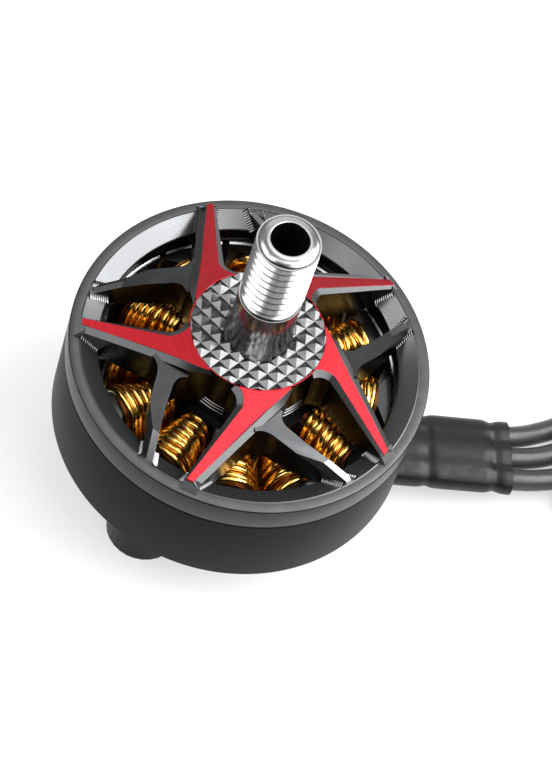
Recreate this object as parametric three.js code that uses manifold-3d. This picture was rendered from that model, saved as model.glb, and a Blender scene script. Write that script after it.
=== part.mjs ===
// Brushless outrunner motor with a hollow threaded propeller shaft, in millimetres.
// +Z runs up the shaft, and the origin is on the spin axis at the mounting face.
import * as THREE from "three";
import { mergeVertices } from "three/addons/utils/BufferGeometryUtils.js";
import Module from "manifold-3d";

const wasm = await Module();
wasm.setup();

// ---- Driving dimensions ----
const bellRadius = 14.4;
const shoulderZ = 15.9; // the bell's top outer edge, above the mounting face
const bellBottomZ = shoulderZ - 9.9;
const seamZ = shoulderZ - 2.04; // where the cap meets the steel ring
const rimTopZ = shoulderZ + 0.33;
const seatTopZ = shoulderZ + 3.65; // the face that a propeller sits on
const shaftTopZ = shoulderZ + 16.3;
const ledgeRadius = 12; // inner edge of the slope inside the rim, over the magnets
const ledgeZ = shoulderZ - 0.45;
const seatRadius = 5.33;
const threadRadius = 2.5; // M5
const boreRadius = 1.49;
const journalRadius = 1.98; // 4 mm bearings
const stackBottomZ = 6.4;
const stackHeight = 7;
const statorRadius = 11.9;
const airGap = 0.22;
const magnetOuter = 13.2;
const magnetTopZ = 13.25;
const armCount = 5;
const armPhase = 26.3; // rest azimuth of the first arm, degrees
const toothCount = 12;
const toothPhase = 17;
const magnetCount = 14;
const bearingHeight = 4;
const bearingRadius = 4.48;
const lowerBearingZ = 1.6;
const upperBearingZ = 10.2;
const mountRadii = [9.5, 8, 9.5, 8]; // M3 holes on 19 mm and 16 mm circles
const mountPhase = 45;
const lobeRadius = 3;
const baseThickness = 3.2;
const wireRadius = 0.9;
const coilCentre = [43, -4];
const coilRadii = [8, 13.6];
const coilHeight = 5.5;
const slip = 0.03; // gap between faces that rest on each other

// The middle lead's way out: x, y, z and the spacing to the leads beside it.
const leadRoute = [
  [9.6, -0.82, 3.2, 2.05],
  [11.7, -0.99, 3.09, 2.05],
  [13.8, -1.16, 2.97, 2.05],
  [15.9, -1.33, 2.86, 2.05],
  [18, -1.5, 2.75, 2.05],
  [20.1, -1.67, 2.63, 2.05],
  [22.2, -1.84, 2.52, 2.05],
  [24.4, -2, 2.4, 2.05],
  [26.3, -1.8, 2.03, 2.15],
  [28.1, -1.32, 1.62, 2.25],
  [30.4, -0.3, 1.15, 2.15],
  [31.9, 0.62, 0.97, 2],
  [33.2, 1.62, 0.9, 1.9],
  [34.3, 2.6, 0.9, 1.8],
  [35.36, 3.64, 0.9, 1.8],
];
const sleeveEnd = 7; // the route's point at the mouth of the sleeve
const tubeEnd = 9; // the route's last point before the coil
const sleeveHalfWidth = 3.35;
const sleeveHalfHeight = 1.4;
const channelRadius = 0.97;

// ---- Finishes ----
const finish = (color, roughness, metalness) => new THREE.MeshStandardMaterial({ color, roughness, metalness });
const darkAnodised = finish(0x3a3a3d, 0.4, 0.8);
const satinBlack = finish(0x2c2a29, 0.5, 0.6);
const nickel = finish(0x9c9c9e, 0.3, 1);
const polishedSteel = finish(0xd0d0d2, 0.2, 1);
const copperEnamel = finish(0xc98a1c, 0.25, 0.9);
const blackEpoxy = finish(0x101010, 0.3, 0);
const siliconeRubber = finish(0x2a2a2c, 0.6, 0);
const shrinkTube = finish(0x1d1d1f, 0.55, 0);

// ---- Solids ----
const radians = THREE.MathUtils.degToRad;

function solidOf(geometry) {
  const bare = geometry.clone();
  bare.deleteAttribute("normal");
  bare.deleteAttribute("uv");
  const merged = mergeVertices(bare, 1e-4);
  const corners = [];
  for (let i = 0; i < merged.index.count; i += 3) {
    const [a, b, c] = [0, 1, 2].map((j) => merged.index.getX(i + j));
    if (a !== b && b !== c && c !== a) corners.push(a, b, c);
  }
  const vertProperties = merged.attributes.position.array;
  return new wasm.Manifold(new wasm.Mesh({ numProp: 3, vertProperties, triVerts: new Uint32Array(corners) }));
}

function geometryOf(solid) {
  const mesh = solid.getMesh();
  const geometry = new THREE.BufferGeometry();
  const flat = new Float32Array(mesh.numVert * 3);
  for (let i = 0; i < mesh.numVert; i++) {
    flat.set(mesh.vertProperties.subarray(i * mesh.numProp, i * mesh.numProp + 3), i * 3);
  }
  geometry.setAttribute("position", new THREE.BufferAttribute(flat, 3));
  geometry.setIndex(new THREE.BufferAttribute(new Uint32Array(mesh.triVerts), 1));
  geometry.computeVertexNormals();
  return geometry;
}

const join = (geometries) => geometries.map(solidOf).reduce((all, one) => all.add(one));

// A turned shape from radius and height pairs, given anticlockwise with the axis on the left.
function revolve(profile, segments = 48) {
  const points = profile.map(([r, z]) => new THREE.Vector2(r, z));
  if (profile[0][0] > 0) points.push(points[0].clone());
  return new THREE.LatheGeometry(points, segments).rotateX(Math.PI / 2);
}

// An outline standing on the plane z = bottom, with its top at the height topAt gives.
function pillar(shape, bottom, topAt, curveSegments = 4) {
  const geometry = new THREE.ExtrudeGeometry(shape, { depth: 1, bevelEnabled: false, curveSegments });
  const place = geometry.attributes.position;
  for (let i = 0; i < place.count; i++) {
    place.setZ(i, place.getZ(i) > 0.5 ? topAt(place.getX(i), place.getY(i)) : bottom);
  }
  return geometry;
}

function outline(points) {
  return new THREE.Shape(points.map(([x, y]) => new THREE.Vector2(x, y)));
}

function circle(radius, sides) {
  const angles = Array.from({ length: sides }, (_, i) => i * 2 * Math.PI / sides);
  return new THREE.Path(angles.map((a) => new THREE.Vector2(radius * Math.cos(a), radius * Math.sin(a))));
}

function mesh(name, geometry, material) {
  const made = new THREE.Mesh(geometry, material);
  made.name = name;
  return made;
}

const twoDigits = (index) => String(index + 1).padStart(2, "0");

// ---- Rotor ----
// The arms are drawn along +X: x is the distance from the axis, y runs anticlockwise across the arm.
const armBottomZ = shoulderZ - 1.2;
const armTipRadius = 13.5;
const armFall = 0.275; // the turned cone's height lost for each millimetre outwards
const armTipZ = shoulderZ + 1.2;
const lipZ = seatTopZ - 0.25; // the narrow land round the knurled seat
const armTopAt = (x, y) => Math.min(lipZ, armTipZ + armFall * (armTipRadius - Math.hypot(x, y)));
const ledgeWidth = 0.62;
const ledgeDrop = 0.12;

function mainArm() {
  const shape = new THREE.Shape();
  shape.moveTo(4.4, -0.5);
  shape.lineTo(5.25, 0.2);
  shape.quadraticCurveTo(5.7, 1.25, 6.8, 1.37);
  shape.lineTo(armTipRadius, -0.3);
  shape.lineTo(armTipRadius, 0.25);
  shape.lineTo(3.6, 4.2);
  shape.lineTo(3.1, 3.9);
  return pillar(shape, armBottomZ, armTopAt);
}

function armLedge() {
  const along = new THREE.Vector2(3.6 - armTipRadius, 4.2 - 0.25).normalize();
  const across = new THREE.Vector2(along.y, -along.x).multiplyScalar(ledgeWidth);
  const shape = outline([
    [armTipRadius - 0.1, 0],
    [armTipRadius + across.x, 0.25 + across.y],
    [3.6 + across.x, 4.2 + across.y],
    [3.1, 3.9],
  ]);
  return pillar(shape, armBottomZ, (x, y) => armTopAt(x, y) - ledgeDrop);
}

function armToe() {
  const toeEnd = 14.05;
  const fall = (armTipZ - rimTopZ) / (toeEnd - armTipRadius);
  const shape = outline([[13.3, -0.35], [toeEnd, -0.35], [toeEnd, 0.75], [13.3, 0.9]]);
  return pillar(shape, armBottomZ, (x, y) => Math.min(armTopAt(x, y), armTipZ - fall * (x - armTipRadius)));
}

function sideArm() {
  const rootZ = shoulderZ + 2.2;
  const shape = new THREE.Shape();
  shape.moveTo(4.4, 3.3);
  shape.lineTo(4.9, 4.3);
  shape.quadraticCurveTo(5.9, 4.6, 6.2, 5.9);
  shape.lineTo(7.35, 11.8);
  shape.lineTo(8.45, 11.15);
  shape.lineTo(7.35, 6);
  shape.quadraticCurveTo(7, 4.2, 7.7, 3.1);
  shape.lineTo(6.6, 2.2);
  return pillar(shape, armBottomZ, (x, y) => rootZ - 0.27 * (y - 4));
}

function bellCap() {
  const rim = revolve([
    [ledgeRadius, 14.3],
    [12.45, 14.3],
    [12.45, magnetTopZ + slip],
    [magnetOuter, magnetTopZ + slip],
    [magnetOuter, seamZ],
    [bellRadius, seamZ],
    [bellRadius, shoulderZ],
    [14.05, rimTopZ],
    [13.47, rimTopZ],
    [ledgeRadius, ledgeZ],
  ], 72);
  const hub = revolve([
    [2.55, 14.56],
    [3.1, 14.56],
    [3.1, 14.9],
    [5.3, 14.9],
    [5.6, 15.3],
    [5.6, lipZ],
    [seatRadius, lipZ],
    [seatRadius, seatTopZ],
    [2.9, seatTopZ],
    [2.9, seatTopZ - 1.2],
    [2.55, seatTopZ - 1.2],
  ], 48);
  const arms = Array.from({ length: armCount }, (_, i) => i * 2 * Math.PI / armCount)
    .flatMap((angle) => [mainArm(), armLedge(), armToe(), sideArm()].map((piece) => piece.rotateZ(angle)));
  return geometryOf(join([rim, hub, ...arms]));
}

function magnet(index) {
  const inner = statorRadius + airGap;
  const half = radians(11.2);
  const middle = index * 2 * Math.PI / magnetCount;
  const shape = new THREE.Shape();
  shape.absarc(0, 0, magnetOuter, middle - half, middle + half, false);
  shape.absarc(0, 0, inner, middle + half, middle - half, true);
  return pillar(shape, stackBottomZ, () => magnetTopZ);
}

function shaft() {
  const flangeZ = seatTopZ - 1.2 + slip;
  return revolve([
    [boreRadius, lowerBearingZ],
    [journalRadius, lowerBearingZ],
    [journalRadius, 14.56],
    [threadRadius, 14.56],
    [threadRadius, flangeZ],
    [2.8, flangeZ],
    [2.75, seatTopZ],
    [threadRadius, seatTopZ + 1.3],
    [threadRadius, shaftTopZ - 0.4],
    [2.1, shaftTopZ],
    [boreRadius, shaftTopZ],
  ], 40);
}

function shaftScrew() {
  const headTopZ = lowerBearingZ - 0.33 - slip;
  return revolve([
    [0, 0.35],
    [1.9, 0.35],
    [2.4, 0.75],
    [2.4, headTopZ],
    [1.4, headTopZ],
    [1.4, 7],
    [0, 7],
  ], 32);
}

const ring = (inner, outer, bottom, top, segments = 32) =>
  revolve([[inner, bottom], [outer, bottom], [outer, top], [inner, top]], segments);

// ---- Bearings: 4 x 9 x 4 mm, with shields pressed into the outer race ----
const raceInner = 2.6;
const raceOuter = 3.9;
const pitchRadius = (raceInner + raceOuter) / 2;
const ballRadius = 0.6;
const ballCount = 7;

function outerRace(bottom) {
  const top = bottom + bearingHeight;
  const shieldHole = 2.78;
  const shieldThickness = 0.25;
  return revolve([
    [shieldHole, bottom],
    [bearingRadius, bottom],
    [bearingRadius, top],
    [shieldHole, top],
    [shieldHole, top - shieldThickness],
    [raceOuter, top - shieldThickness],
    [raceOuter, bottom + shieldThickness],
    [shieldHole, bottom + shieldThickness],
  ], 36);
}

const innerRace = (bottom) => ring(journalRadius + 0.04, raceInner, bottom, bottom + bearingHeight, 32);

function ballCage(bottom) {
  const middle = bottom + bearingHeight / 2;
  const balls = Array.from({ length: ballCount }, (_, i) => i * 2 * Math.PI / ballCount).map((angle) =>
    new THREE.SphereGeometry(ballRadius, 8, 5)
      .translate(pitchRadius * Math.cos(angle), pitchRadius * Math.sin(angle), middle));
  const crown = ring(pitchRadius - 0.35, pitchRadius + 0.35, middle + 0.25, middle + 0.85, 24);
  return geometryOf(join([crown, ...balls]));
}

// ---- Stator ----
function statorCore() {
  const yokeRadius = 5.95;
  const toothHalf = 0.85;
  const shoeInner = 10.9;
  const shoeHalf = radians(12);
  const shape = new THREE.Shape();
  for (let i = 0; i < toothCount; i++) {
    const middle = radians(toothPhase + i * 360 / toothCount);
    const at = (r, offset) => [
      r * Math.cos(middle) - offset * Math.sin(middle),
      r * Math.sin(middle) + offset * Math.cos(middle),
    ];
    const start = at(yokeRadius, -toothHalf);
    if (i === 0) shape.moveTo(...start);
    else shape.lineTo(...start);
    shape.lineTo(...at(shoeInner, -toothHalf));
    shape.absarc(0, 0, statorRadius, middle - shoeHalf, middle + shoeHalf, false);
    shape.lineTo(...at(shoeInner, toothHalf));
    shape.lineTo(...at(yokeRadius, toothHalf));
  }
  shape.holes.push(circle(5.24, 36));
  return geometryOf(solidOf(pillar(shape, stackBottomZ, () => stackBottomZ + stackHeight)));
}

// A coil is a frame round its tooth that widens outwards with the slot.
function toothCoil(index) {
  const innerRadius = 6.1;
  const outerRadius = 10.65;
  const openHalf = 1.05;
  const wall = 0.2;
  const crown = 0.7;
  const slotClearance = 0.15;
  const halfWidthAt = (r) => r * Math.tan(Math.PI / toothCount) - slotClearance;
  const low = stackBottomZ - wall;
  const high = stackBottomZ + stackHeight + wall;
  const start = halfWidthAt(innerRadius);
  const shape = new THREE.Shape();
  const bend = 0.2; // the end turns start to curve this far inside the opening
  shape.moveTo(start, low + bend);
  shape.lineTo(start, high - bend);
  shape.quadraticCurveTo(start, high + crown, 0.9, high + crown);
  shape.lineTo(-0.9, high + crown);
  shape.quadraticCurveTo(-start, high + crown, -start, high - bend);
  shape.lineTo(-start, low + bend);
  shape.quadraticCurveTo(-start, low - crown, -0.9, low - crown);
  shape.lineTo(0.9, low - crown);
  shape.quadraticCurveTo(start, low - crown, start, low + bend);
  const hole = new THREE.Path();
  hole.moveTo(openHalf, low);
  hole.lineTo(-openHalf, low);
  hole.lineTo(-openHalf, high);
  hole.lineTo(openHalf, high);
  hole.closePath();
  shape.holes.push(hole);
  const depth = outerRadius - innerRadius;
  const geometry = new THREE.ExtrudeGeometry(shape, { depth, bevelEnabled: false, curveSegments: 4 });
  const place = geometry.attributes.position;
  for (let i = 0; i < place.count; i++) {
    const [across, z, outwards] = [place.getX(i), place.getY(i), place.getZ(i)];
    const r = innerRadius + outwards;
    const inOpening = Math.abs(across) < openHalf + 1e-4 && z > low - 1e-4 && z < high + 1e-4;
    place.setXYZ(i, r, across * (inOpening ? 1 : halfWidthAt(r) / start), z);
  }
  return geometry.rotateZ(radians(toothPhase + index * 360 / toothCount));
}

function base() {
  const tube = revolve([
    [bearingRadius + 0.04, 0],
    [6.6, 0],
    [6.6, baseThickness],
    [5.9, 3.6],
    [5.9, stackBottomZ - slip],
    [5.2, stackBottomZ - slip],
    [5.2, upperBearingZ + bearingHeight],
    [bearingRadius + 0.04, upperBearingZ + bearingHeight],
    [bearingRadius + 0.04, upperBearingZ - slip],
    [4, upperBearingZ - slip],
    [4, lowerBearingZ + bearingHeight + slip],
    [bearingRadius + 0.04, lowerBearingZ + bearingHeight + slip],
  ], 48);
  let body = solidOf(tube);
  mountRadii.forEach((radius, i) => {
    const angle = radians(mountPhase + i * 90);
    const spoke = outline([[5.2, -2.5], [radius, -2.1], [radius, 2.1], [5.2, 2.5]]);
    const lobe = ring(1.5, lobeRadius, 0, baseThickness, 28).translate(radius, 0, 0);
    const drill = new THREE.CylinderGeometry(1.5, 1.5, 3 * baseThickness, 28).rotateX(Math.PI / 2);
    body = body
      .add(solidOf(pillar(spoke, 0, () => baseThickness).rotateZ(angle)))
      .add(solidOf(lobe.rotateZ(angle)))
      .subtract(solidOf(drill.translate(radius, 0, 0).rotateZ(angle)));
  });
  return geometryOf(body);
}

// ---- Leads ----
// One lead's points: the middle route shifted sideways by lane times the spacing.
function leadPoints(lane) {
  return leadRoute.slice(0, tubeEnd + 1).map(([x, y, z, spacing], i) => {
    const [before, after] = [leadRoute[Math.max(i - 1, 0)], leadRoute[i + 1]];
    const heading = Math.atan2(after[1] - before[1], after[0] - before[0]);
    return new THREE.Vector3(x - lane * spacing * Math.sin(heading), y + lane * spacing * Math.cos(heading), z);
  });
}

function lead(lane) {
  const section = outline(Array.from({ length: 8 }, (_, i) => {
    const angle = (i + 0.5) * Math.PI / 4;
    return [wireRadius * Math.cos(angle), wireRadius * Math.sin(angle)];
  }));
  const path = new THREE.CatmullRomCurve3(leadPoints(lane));
  return new THREE.ExtrudeGeometry(section, { steps: 9, extrudePath: path, bevelEnabled: false });
}

function leadSleeve() {
  const [start, end] = [leadRoute[0], leadRoute[sleeveEnd]].map((p) => new THREE.Vector3(...p.slice(0, 3)));
  const along = end.clone().sub(start);
  const length = along.length();
  along.normalize();
  const across = new THREE.Vector3(0, 0, 1).cross(along).normalize();
  const up = along.clone().cross(across);
  const flat = sleeveHalfWidth - sleeveHalfHeight;
  const shape = new THREE.Shape();
  shape.absarc(flat, 0, sleeveHalfHeight, -Math.PI / 2, Math.PI / 2, false);
  shape.absarc(-flat, 0, sleeveHalfHeight, Math.PI / 2, 3 * Math.PI / 2, false);
  for (const lane of [-1, 0, 1]) {
    const channel = new THREE.Path();
    channel.absarc(lane * leadRoute[0][3], 0, channelRadius, 0, 2 * Math.PI, true);
    shape.holes.push(channel);
  }
  const options = { depth: length - 0.6, bevelEnabled: false, curveSegments: 7 };
  const geometry = new THREE.ExtrudeGeometry(shape, options);
  const frame = new THREE.Matrix4().makeBasis(across, up, along);
  frame.setPosition(start.addScaledVector(along, 0.3));
  return geometryOf(solidOf(geometry.applyMatrix4(frame)));
}

function leadCoil() {
  const [inner, outer] = coilRadii;
  return ring(inner, outer, 0, coilHeight, 40).translate(...coilCentre, 0);
}

// ---- Assembly ----
const rotor = new THREE.Group();
rotor.rotation.z = radians(armPhase);
rotor.add(
  mesh("bell_cap", bellCap(), darkAnodised),
  mesh("flux_ring", revolve([
    [magnetOuter + slip, bellBottomZ],
    [14.2, bellBottomZ],
    [bellRadius, bellBottomZ + 0.2],
    [bellRadius, seamZ - slip],
    [magnetOuter + slip, seamZ - slip],
  ], 72), satinBlack),
  mesh("shaft", shaft(), polishedSteel),
  mesh("shaft_screw", shaftScrew(), satinBlack),
  mesh("screw_washer", ring(1.55, 2.9, lowerBearingZ - 0.33, lowerBearingZ - slip, 32), nickel),
  mesh("bell_shim", ring(journalRadius + 0.04, 2.9, 14.23, 14.53, 32), nickel),
);
for (let i = 0; i < magnetCount; i++) rotor.add(mesh(`magnet_${twoDigits(i)}`, magnet(i), nickel));

const stator = new THREE.Group();
stator.add(
  mesh("base", base(), darkAnodised),
  mesh("stator_core", statorCore(), blackEpoxy),
  mesh("lead_sleeve", leadSleeve(), shrinkTube),
  mesh("lead_coil", leadCoil(), siliconeRubber),
);
for (let i = 0; i < toothCount; i++) stator.add(mesh(`coil_${twoDigits(i)}`, toothCoil(i), copperEnamel));
[1, 0, -1].forEach((lane, i) => stator.add(mesh(`wire_${i + 1}`, lead(lane), siliconeRubber)));

const motor = new THREE.Group();
motor.add(rotor, stator);
for (const [name, bottom] of [["lower", lowerBearingZ], ["upper", upperBearingZ]]) {
  rotor.add(mesh(`${name}_bearing_inner`, innerRace(bottom), polishedSteel));
  stator.add(mesh(`${name}_bearing_outer`, outerRace(bottom), polishedSteel));
  motor.add(mesh(`${name}_bearing_balls`, ballCage(bottom), polishedSteel));
}

export default motor;
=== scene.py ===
# Looks of a brushless outrunner motor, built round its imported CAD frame.
# Sizes are in millimetres unless a name says otherwise, and +Z runs up the shaft.
import math
import random

import bmesh
import bpy
from mathutils import Matrix, Vector


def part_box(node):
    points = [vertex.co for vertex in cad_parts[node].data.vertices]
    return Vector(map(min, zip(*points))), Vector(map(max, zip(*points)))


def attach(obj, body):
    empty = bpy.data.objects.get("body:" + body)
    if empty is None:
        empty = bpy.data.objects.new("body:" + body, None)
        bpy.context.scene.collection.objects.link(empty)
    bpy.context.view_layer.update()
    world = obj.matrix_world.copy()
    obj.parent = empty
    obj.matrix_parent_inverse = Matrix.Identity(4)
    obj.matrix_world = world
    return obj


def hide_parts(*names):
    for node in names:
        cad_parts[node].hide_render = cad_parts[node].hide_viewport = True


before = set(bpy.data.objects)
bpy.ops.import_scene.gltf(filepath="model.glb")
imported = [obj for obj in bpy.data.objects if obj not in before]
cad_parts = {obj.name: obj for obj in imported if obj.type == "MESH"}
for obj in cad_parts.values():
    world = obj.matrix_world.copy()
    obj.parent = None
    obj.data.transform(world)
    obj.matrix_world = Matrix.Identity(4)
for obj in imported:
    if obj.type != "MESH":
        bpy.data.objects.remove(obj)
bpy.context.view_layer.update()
MM = 0.001


# ---- Sizes read from the frame ----
def low_corner(node):
    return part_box(node)[0] / MM


def high_corner(node):
    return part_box(node)[1] / MM


def reach(node):
    """The node's largest distance from the spin axis."""
    return max(math.hypot(v.co.x, v.co.y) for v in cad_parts[node].data.vertices) / MM


BELL_R = reach("flux_ring")
BELL_BOTTOM = low_corner("flux_ring").z
SEAM = high_corner("flux_ring").z + 0.03
SEAT_TOP = high_corner("bell_cap").z
SHAFT_TOP = high_corner("shaft").z
SHAFT_BOTTOM = low_corner("shaft").z
COIL_BOTTOM = low_corner("coil_01").z
COIL_TOP = high_corner("coil_01").z

# ---- Driving sizes ----
SHOULDER = SEAM + 2.04  # the cap's top outer edge
RIM_TOP = SHOULDER + 0.33
LIP_TOP = SEAT_TOP - 0.25  # the narrow land round the knurled seat
SEAT_R = 5.33
LIP_R = 5.42
RIM_INNER_R = 13.47
RIM_FALL = 0.05  # the rim's land falls outwards by this much
RIM_OUTER_R = 14.32
STEP_INNER_R = 12.0
STEP_INNER_Z = SHOULDER - 0.45
STEP_COUNT = 9
STEP_SAG = 0.005  # the steps' faces are hollow by this much
# The band along each step's edge takes a painted highlight.
STEP_HIGHLIGHT_SHARE = 0.3  # each step's brighter edge, as a share of the step
STEP_BOTTOM = 14.3  # underside of the web that carries the steps
SPIGOT_INNER_R = 12.45  # the spigot goes down into the flux ring
SPIGOT_OUTER_R = 13.2
SPIGOT_BOTTOM = 13.28
HUB_BOTTOM = 14.56
HUB_FLOOR = 14.9  # underside of the hub round its boss
HUB_BORE_R = 2.55
BOSS_R = 3.1
RECESS_R = 2.9  # the seat's recess takes the shaft's collar
RECESS_DEPTH = 1.2
ARM_COUNT = 5
ARM_PHASE = 26.3
ARM_TIP_R = 13.5
ARM_TIP_Z = SHOULDER + 1.2
ARM_FALL = 0.275
ARM_BOTTOM = SHOULDER - 1.2
TOOTH_COUNT = 12
TOOTH_PHASE = 17
THREAD_R = 2.5
THREAD_PITCH = 0.8
THREAD_LOW = SHAFT_TOP - 7.4  # where the thread runs out
THREAD_DEPTH = 0.49
THREAD_CREST = 0.125  # share of the pitch
THREAD_FLANK = 0.375  # share of the pitch
JOURNAL_R = 1.98
COLLAR_R = 2.8
SHAFT_FLAT_R = 1.54  # where the shaft's end stops being flat and rounds over
SHAFT_ROUNDING = 0.56  # height of the rounding
BORE_R = 1.49
WIRE_R = 0.9
LEAD_LENGTH = 150
ARM_ANGLES = [ARM_PHASE + 360 / ARM_COUNT * i for i in range(ARM_COUNT)]


# ---- Camera ----
def add_camera():
    data = bpy.data.cameras.new("camera")
    data.lens = 150
    data.sensor_fit = "VERTICAL"
    data.sensor_height = 36
    camera = bpy.data.objects.new("camera", data)
    bpy.context.scene.collection.objects.link(camera)
    aim = Vector((4.39, 3.16, 6.0)) * MM
    distance = 261.8
    azimuth, elevation, roll = (math.radians(a) for a in (-114.1, 56.75, 20.3))
    back = Vector((
        math.cos(elevation) * math.cos(azimuth),
        math.cos(elevation) * math.sin(azimuth),
        math.sin(elevation),
    ))
    level = Vector((0, 0, 1)).cross(back).normalized()
    upright = back.cross(level)
    right = level * math.cos(roll) + upright * math.sin(roll)
    axes = Matrix((right, back.cross(right), back)).transposed()
    camera.matrix_world = Matrix.Translation(aim + back * distance * MM) @ axes.to_4x4()
    bpy.context.scene.camera = camera


add_camera()


# ---- Materials ----
class Shader:
    """A Principled material with its texture nodes working in millimetres."""

    def __init__(self, name, colour, metallic, roughness, **sockets):
        self.material = bpy.data.materials.new(name)
        self.material.use_nodes = True
        self.tree = self.material.node_tree
        self.surface = self.tree.nodes["Principled BSDF"]
        self.surface.inputs["Base Color"].default_value = (*colour, 1)
        self.surface.inputs["Metallic"].default_value = metallic
        self.surface.inputs["Roughness"].default_value = roughness
        for key, value in sockets.items():
            self.surface.inputs[key.replace("_", " ")].default_value = value
        self.colour = colour
        self.roughness = roughness
        coords = self.tree.nodes.new("ShaderNodeTexCoord")
        self.place = self.node("ShaderNodeVectorMath", {0: coords.outputs["Object"]}, operation="SCALE")
        self.place.inputs["Scale"].default_value = 1 / MM
        self.bumps = None

    def node(self, kind, inputs=None, **settings):
        made = self.tree.nodes.new(kind)
        for key, value in settings.items():
            setattr(made, key, value)
        for key, value in (inputs or {}).items():
            if isinstance(value, bpy.types.NodeSocket):
                self.tree.links.new(value, made.inputs[key])
            else:
                made.inputs[key].default_value = value
        return made

    def grain(self, scale, detail=3, stretch=(1, 1, 1)):
        """Noise with features about 1 / scale mm across."""
        mapped = self.node("ShaderNodeMapping", {"Vector": self.place.outputs[0], "Scale": stretch})
        return self.noise(mapped.outputs[0], scale, detail)

    def noise(self, place, scale, detail):
        made = self.node("ShaderNodeTexNoise", {"Vector": place, "Scale": scale, "Detail": detail})
        return made.outputs["Fac"]

    def turned(self, scale):
        """Noise that is the same all the way round the spin axis, as lathe marks are."""
        parts = self.node("ShaderNodeSeparateXYZ", {0: self.place.outputs[0]})
        flat = self.node("ShaderNodeCombineXYZ", {0: parts.outputs[0], 1: parts.outputs[1]})
        radius = self.node("ShaderNodeVectorMath", {0: flat.outputs[0]}, operation="LENGTH")
        line = self.node("ShaderNodeCombineXYZ", {0: radius.outputs["Value"], 1: parts.outputs[2]})
        return self.noise(line.outputs[0], scale, 2)

    def spread(self, value, low, high):
        """Stretches the middle of a noise's range over low to high."""
        ranged = self.node("ShaderNodeMapRange", {
            "Value": value, "From Min": 0.3, "From Max": 0.7, "To Min": low, "To Max": high,
        })
        return ranged.outputs["Result"]

    def vary_roughness(self, value, amount):
        result = self.spread(value, self.roughness - amount, self.roughness + amount)
        self.tree.links.new(result, self.surface.inputs["Roughness"])
        return self

    def vary_colour(self, value, other):
        mix = self.node("ShaderNodeMix", {"Factor": self.spread(value, 0, 1)}, data_type="RGBA")
        mix.inputs["A"].default_value = (*self.colour, 1)
        mix.inputs["B"].default_value = (*other, 1)
        self.tree.links.new(mix.outputs["Result"], self.surface.inputs["Base Color"])
        return self

    def bump(self, value, depth):
        """Relief of the given depth in millimetres."""
        inputs = {"Height": value, "Distance": depth * MM, "Strength": 1}
        if self.bumps:
            inputs["Normal"] = self.bumps
        self.bumps = self.node("ShaderNodeBump", inputs).outputs["Normal"]
        self.tree.links.new(self.bumps, self.surface.inputs["Normal"])
        return self


def dark_anodised(name, grey, metallic=1.0):
    shader = Shader(name, (grey, grey * 1.02, grey * 1.06), metallic, 0.36)
    fine = shader.grain(9, 4)
    shader.vary_roughness(fine, 0.03)
    shader.vary_colour(shader.grain(0.8), (grey * 1.2, grey * 1.22, grey * 1.26))
    return shader.bump(fine, 0.0016).bump(shader.turned(14), 0.001).material


# Painted shade: a darker copy of the cap's anodised aluminium for the walls of its arms, hub, windows and
# fillets.
def wall_painted_shade():
    shader = Shader("wall_painted_shade", (0.022, 0.022, 0.023), 1.0, 0.3)
    fine = shader.grain(7, 4)
    return shader.vary_roughness(fine, 0.04).bump(fine, 0.0015).material


def step_anodised(name, grey):
    shader = Shader(name, (grey, grey * 1.02, grey * 1.05), 0.85, 0.24)
    return shader.vary_roughness(shader.grain(6), 0.03).bump(shader.turned(12), 0.0008).material


def machined(name, grey, roughness, metallic=1.0):
    shader = Shader(name, (grey, grey * 1.01, grey * 1.04), metallic, roughness)
    fine = shader.grain(8, 3)
    return shader.vary_roughness(fine, 0.03).bump(fine, 0.001).material


def red_anodised():
    shader = Shader(
        "arm_red", (0.42, 0.006, 0.012), 1.0, 0.3,
        Coat_Weight=0.22, Coat_IOR=1.7, Coat_Roughness=0.22,
    )
    shader.vary_colour(shader.turned(7), (0.5, 0.014, 0.026)).vary_roughness(shader.grain(8), 0.03)
    return shader.bump(shader.turned(14), 0.0035).bump(shader.grain(14, 4), 0.0012).material


def knurl_metal():
    shader = Shader("knurl_metal", (0.17, 0.172, 0.175), 1.0, 0.24)
    fine = shader.grain(6, 3)
    shader.vary_colour(shader.grain(1.5), (0.135, 0.137, 0.14))
    return shader.vary_roughness(fine, 0.05).bump(fine, 0.0015).material


def black_ring():
    shader = Shader("ring_black", (0.009, 0.0085, 0.008), 0.0, 0.42, Specular_IOR_Level=0.06)
    fine = shader.grain(16, 4)
    return shader.vary_roughness(fine, 0.04).bump(fine, 0.002).material


def polished_steel(name, grey):
    shader = Shader(name, (grey, grey * 0.98, grey * 0.97), 1.0, 0.19)
    brushed = shader.grain(3, 3, (1.6, 1.6, 0.15))
    shader.vary_roughness(brushed, 0.03).vary_colour(brushed, (grey * 1.13, grey * 1.11, grey * 1.1))
    return shader.bump(brushed, 0.0006).material


def nickel_plate():
    shader = Shader("magnet_nickel", (0.5, 0.5, 0.51), 1.0, 0.28)
    return shader.vary_roughness(shader.grain(4), 0.03).bump(shader.grain(9), 0.0006).material


def enamelled_wire():
    shader = Shader("copper_enamel", (1.0, 0.68, 0.19), 1.0, 0.2, Coat_Weight=0.8, Coat_Roughness=0.07)
    shader.vary_colour(shader.grain(0.7), (0.92, 0.5, 0.08)).vary_roughness(shader.grain(5), 0.04)
    return shader.bump(shader.grain(1.6, 2), 0.03).material


# Painted shade: a dark copper for the solid core that stands for the lower layers between the strands.
def wire_shadow():
    shader = Shader("copper_lower_layer_painted_shade", (0.17, 0.048, 0.008), 0.9, 0.4)
    return shader.vary_roughness(shader.grain(4), 0.08).bump(shader.grain(3), 0.03).material


def black_epoxy():
    shader = Shader("core_epoxy", (0.012, 0.011, 0.01), 0.0, 0.24, Coat_Weight=0.4, Coat_Roughness=0.1)
    return shader.vary_roughness(shader.grain(2), 0.04).bump(shader.grain(1.2, 1), 0.01).material


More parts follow.
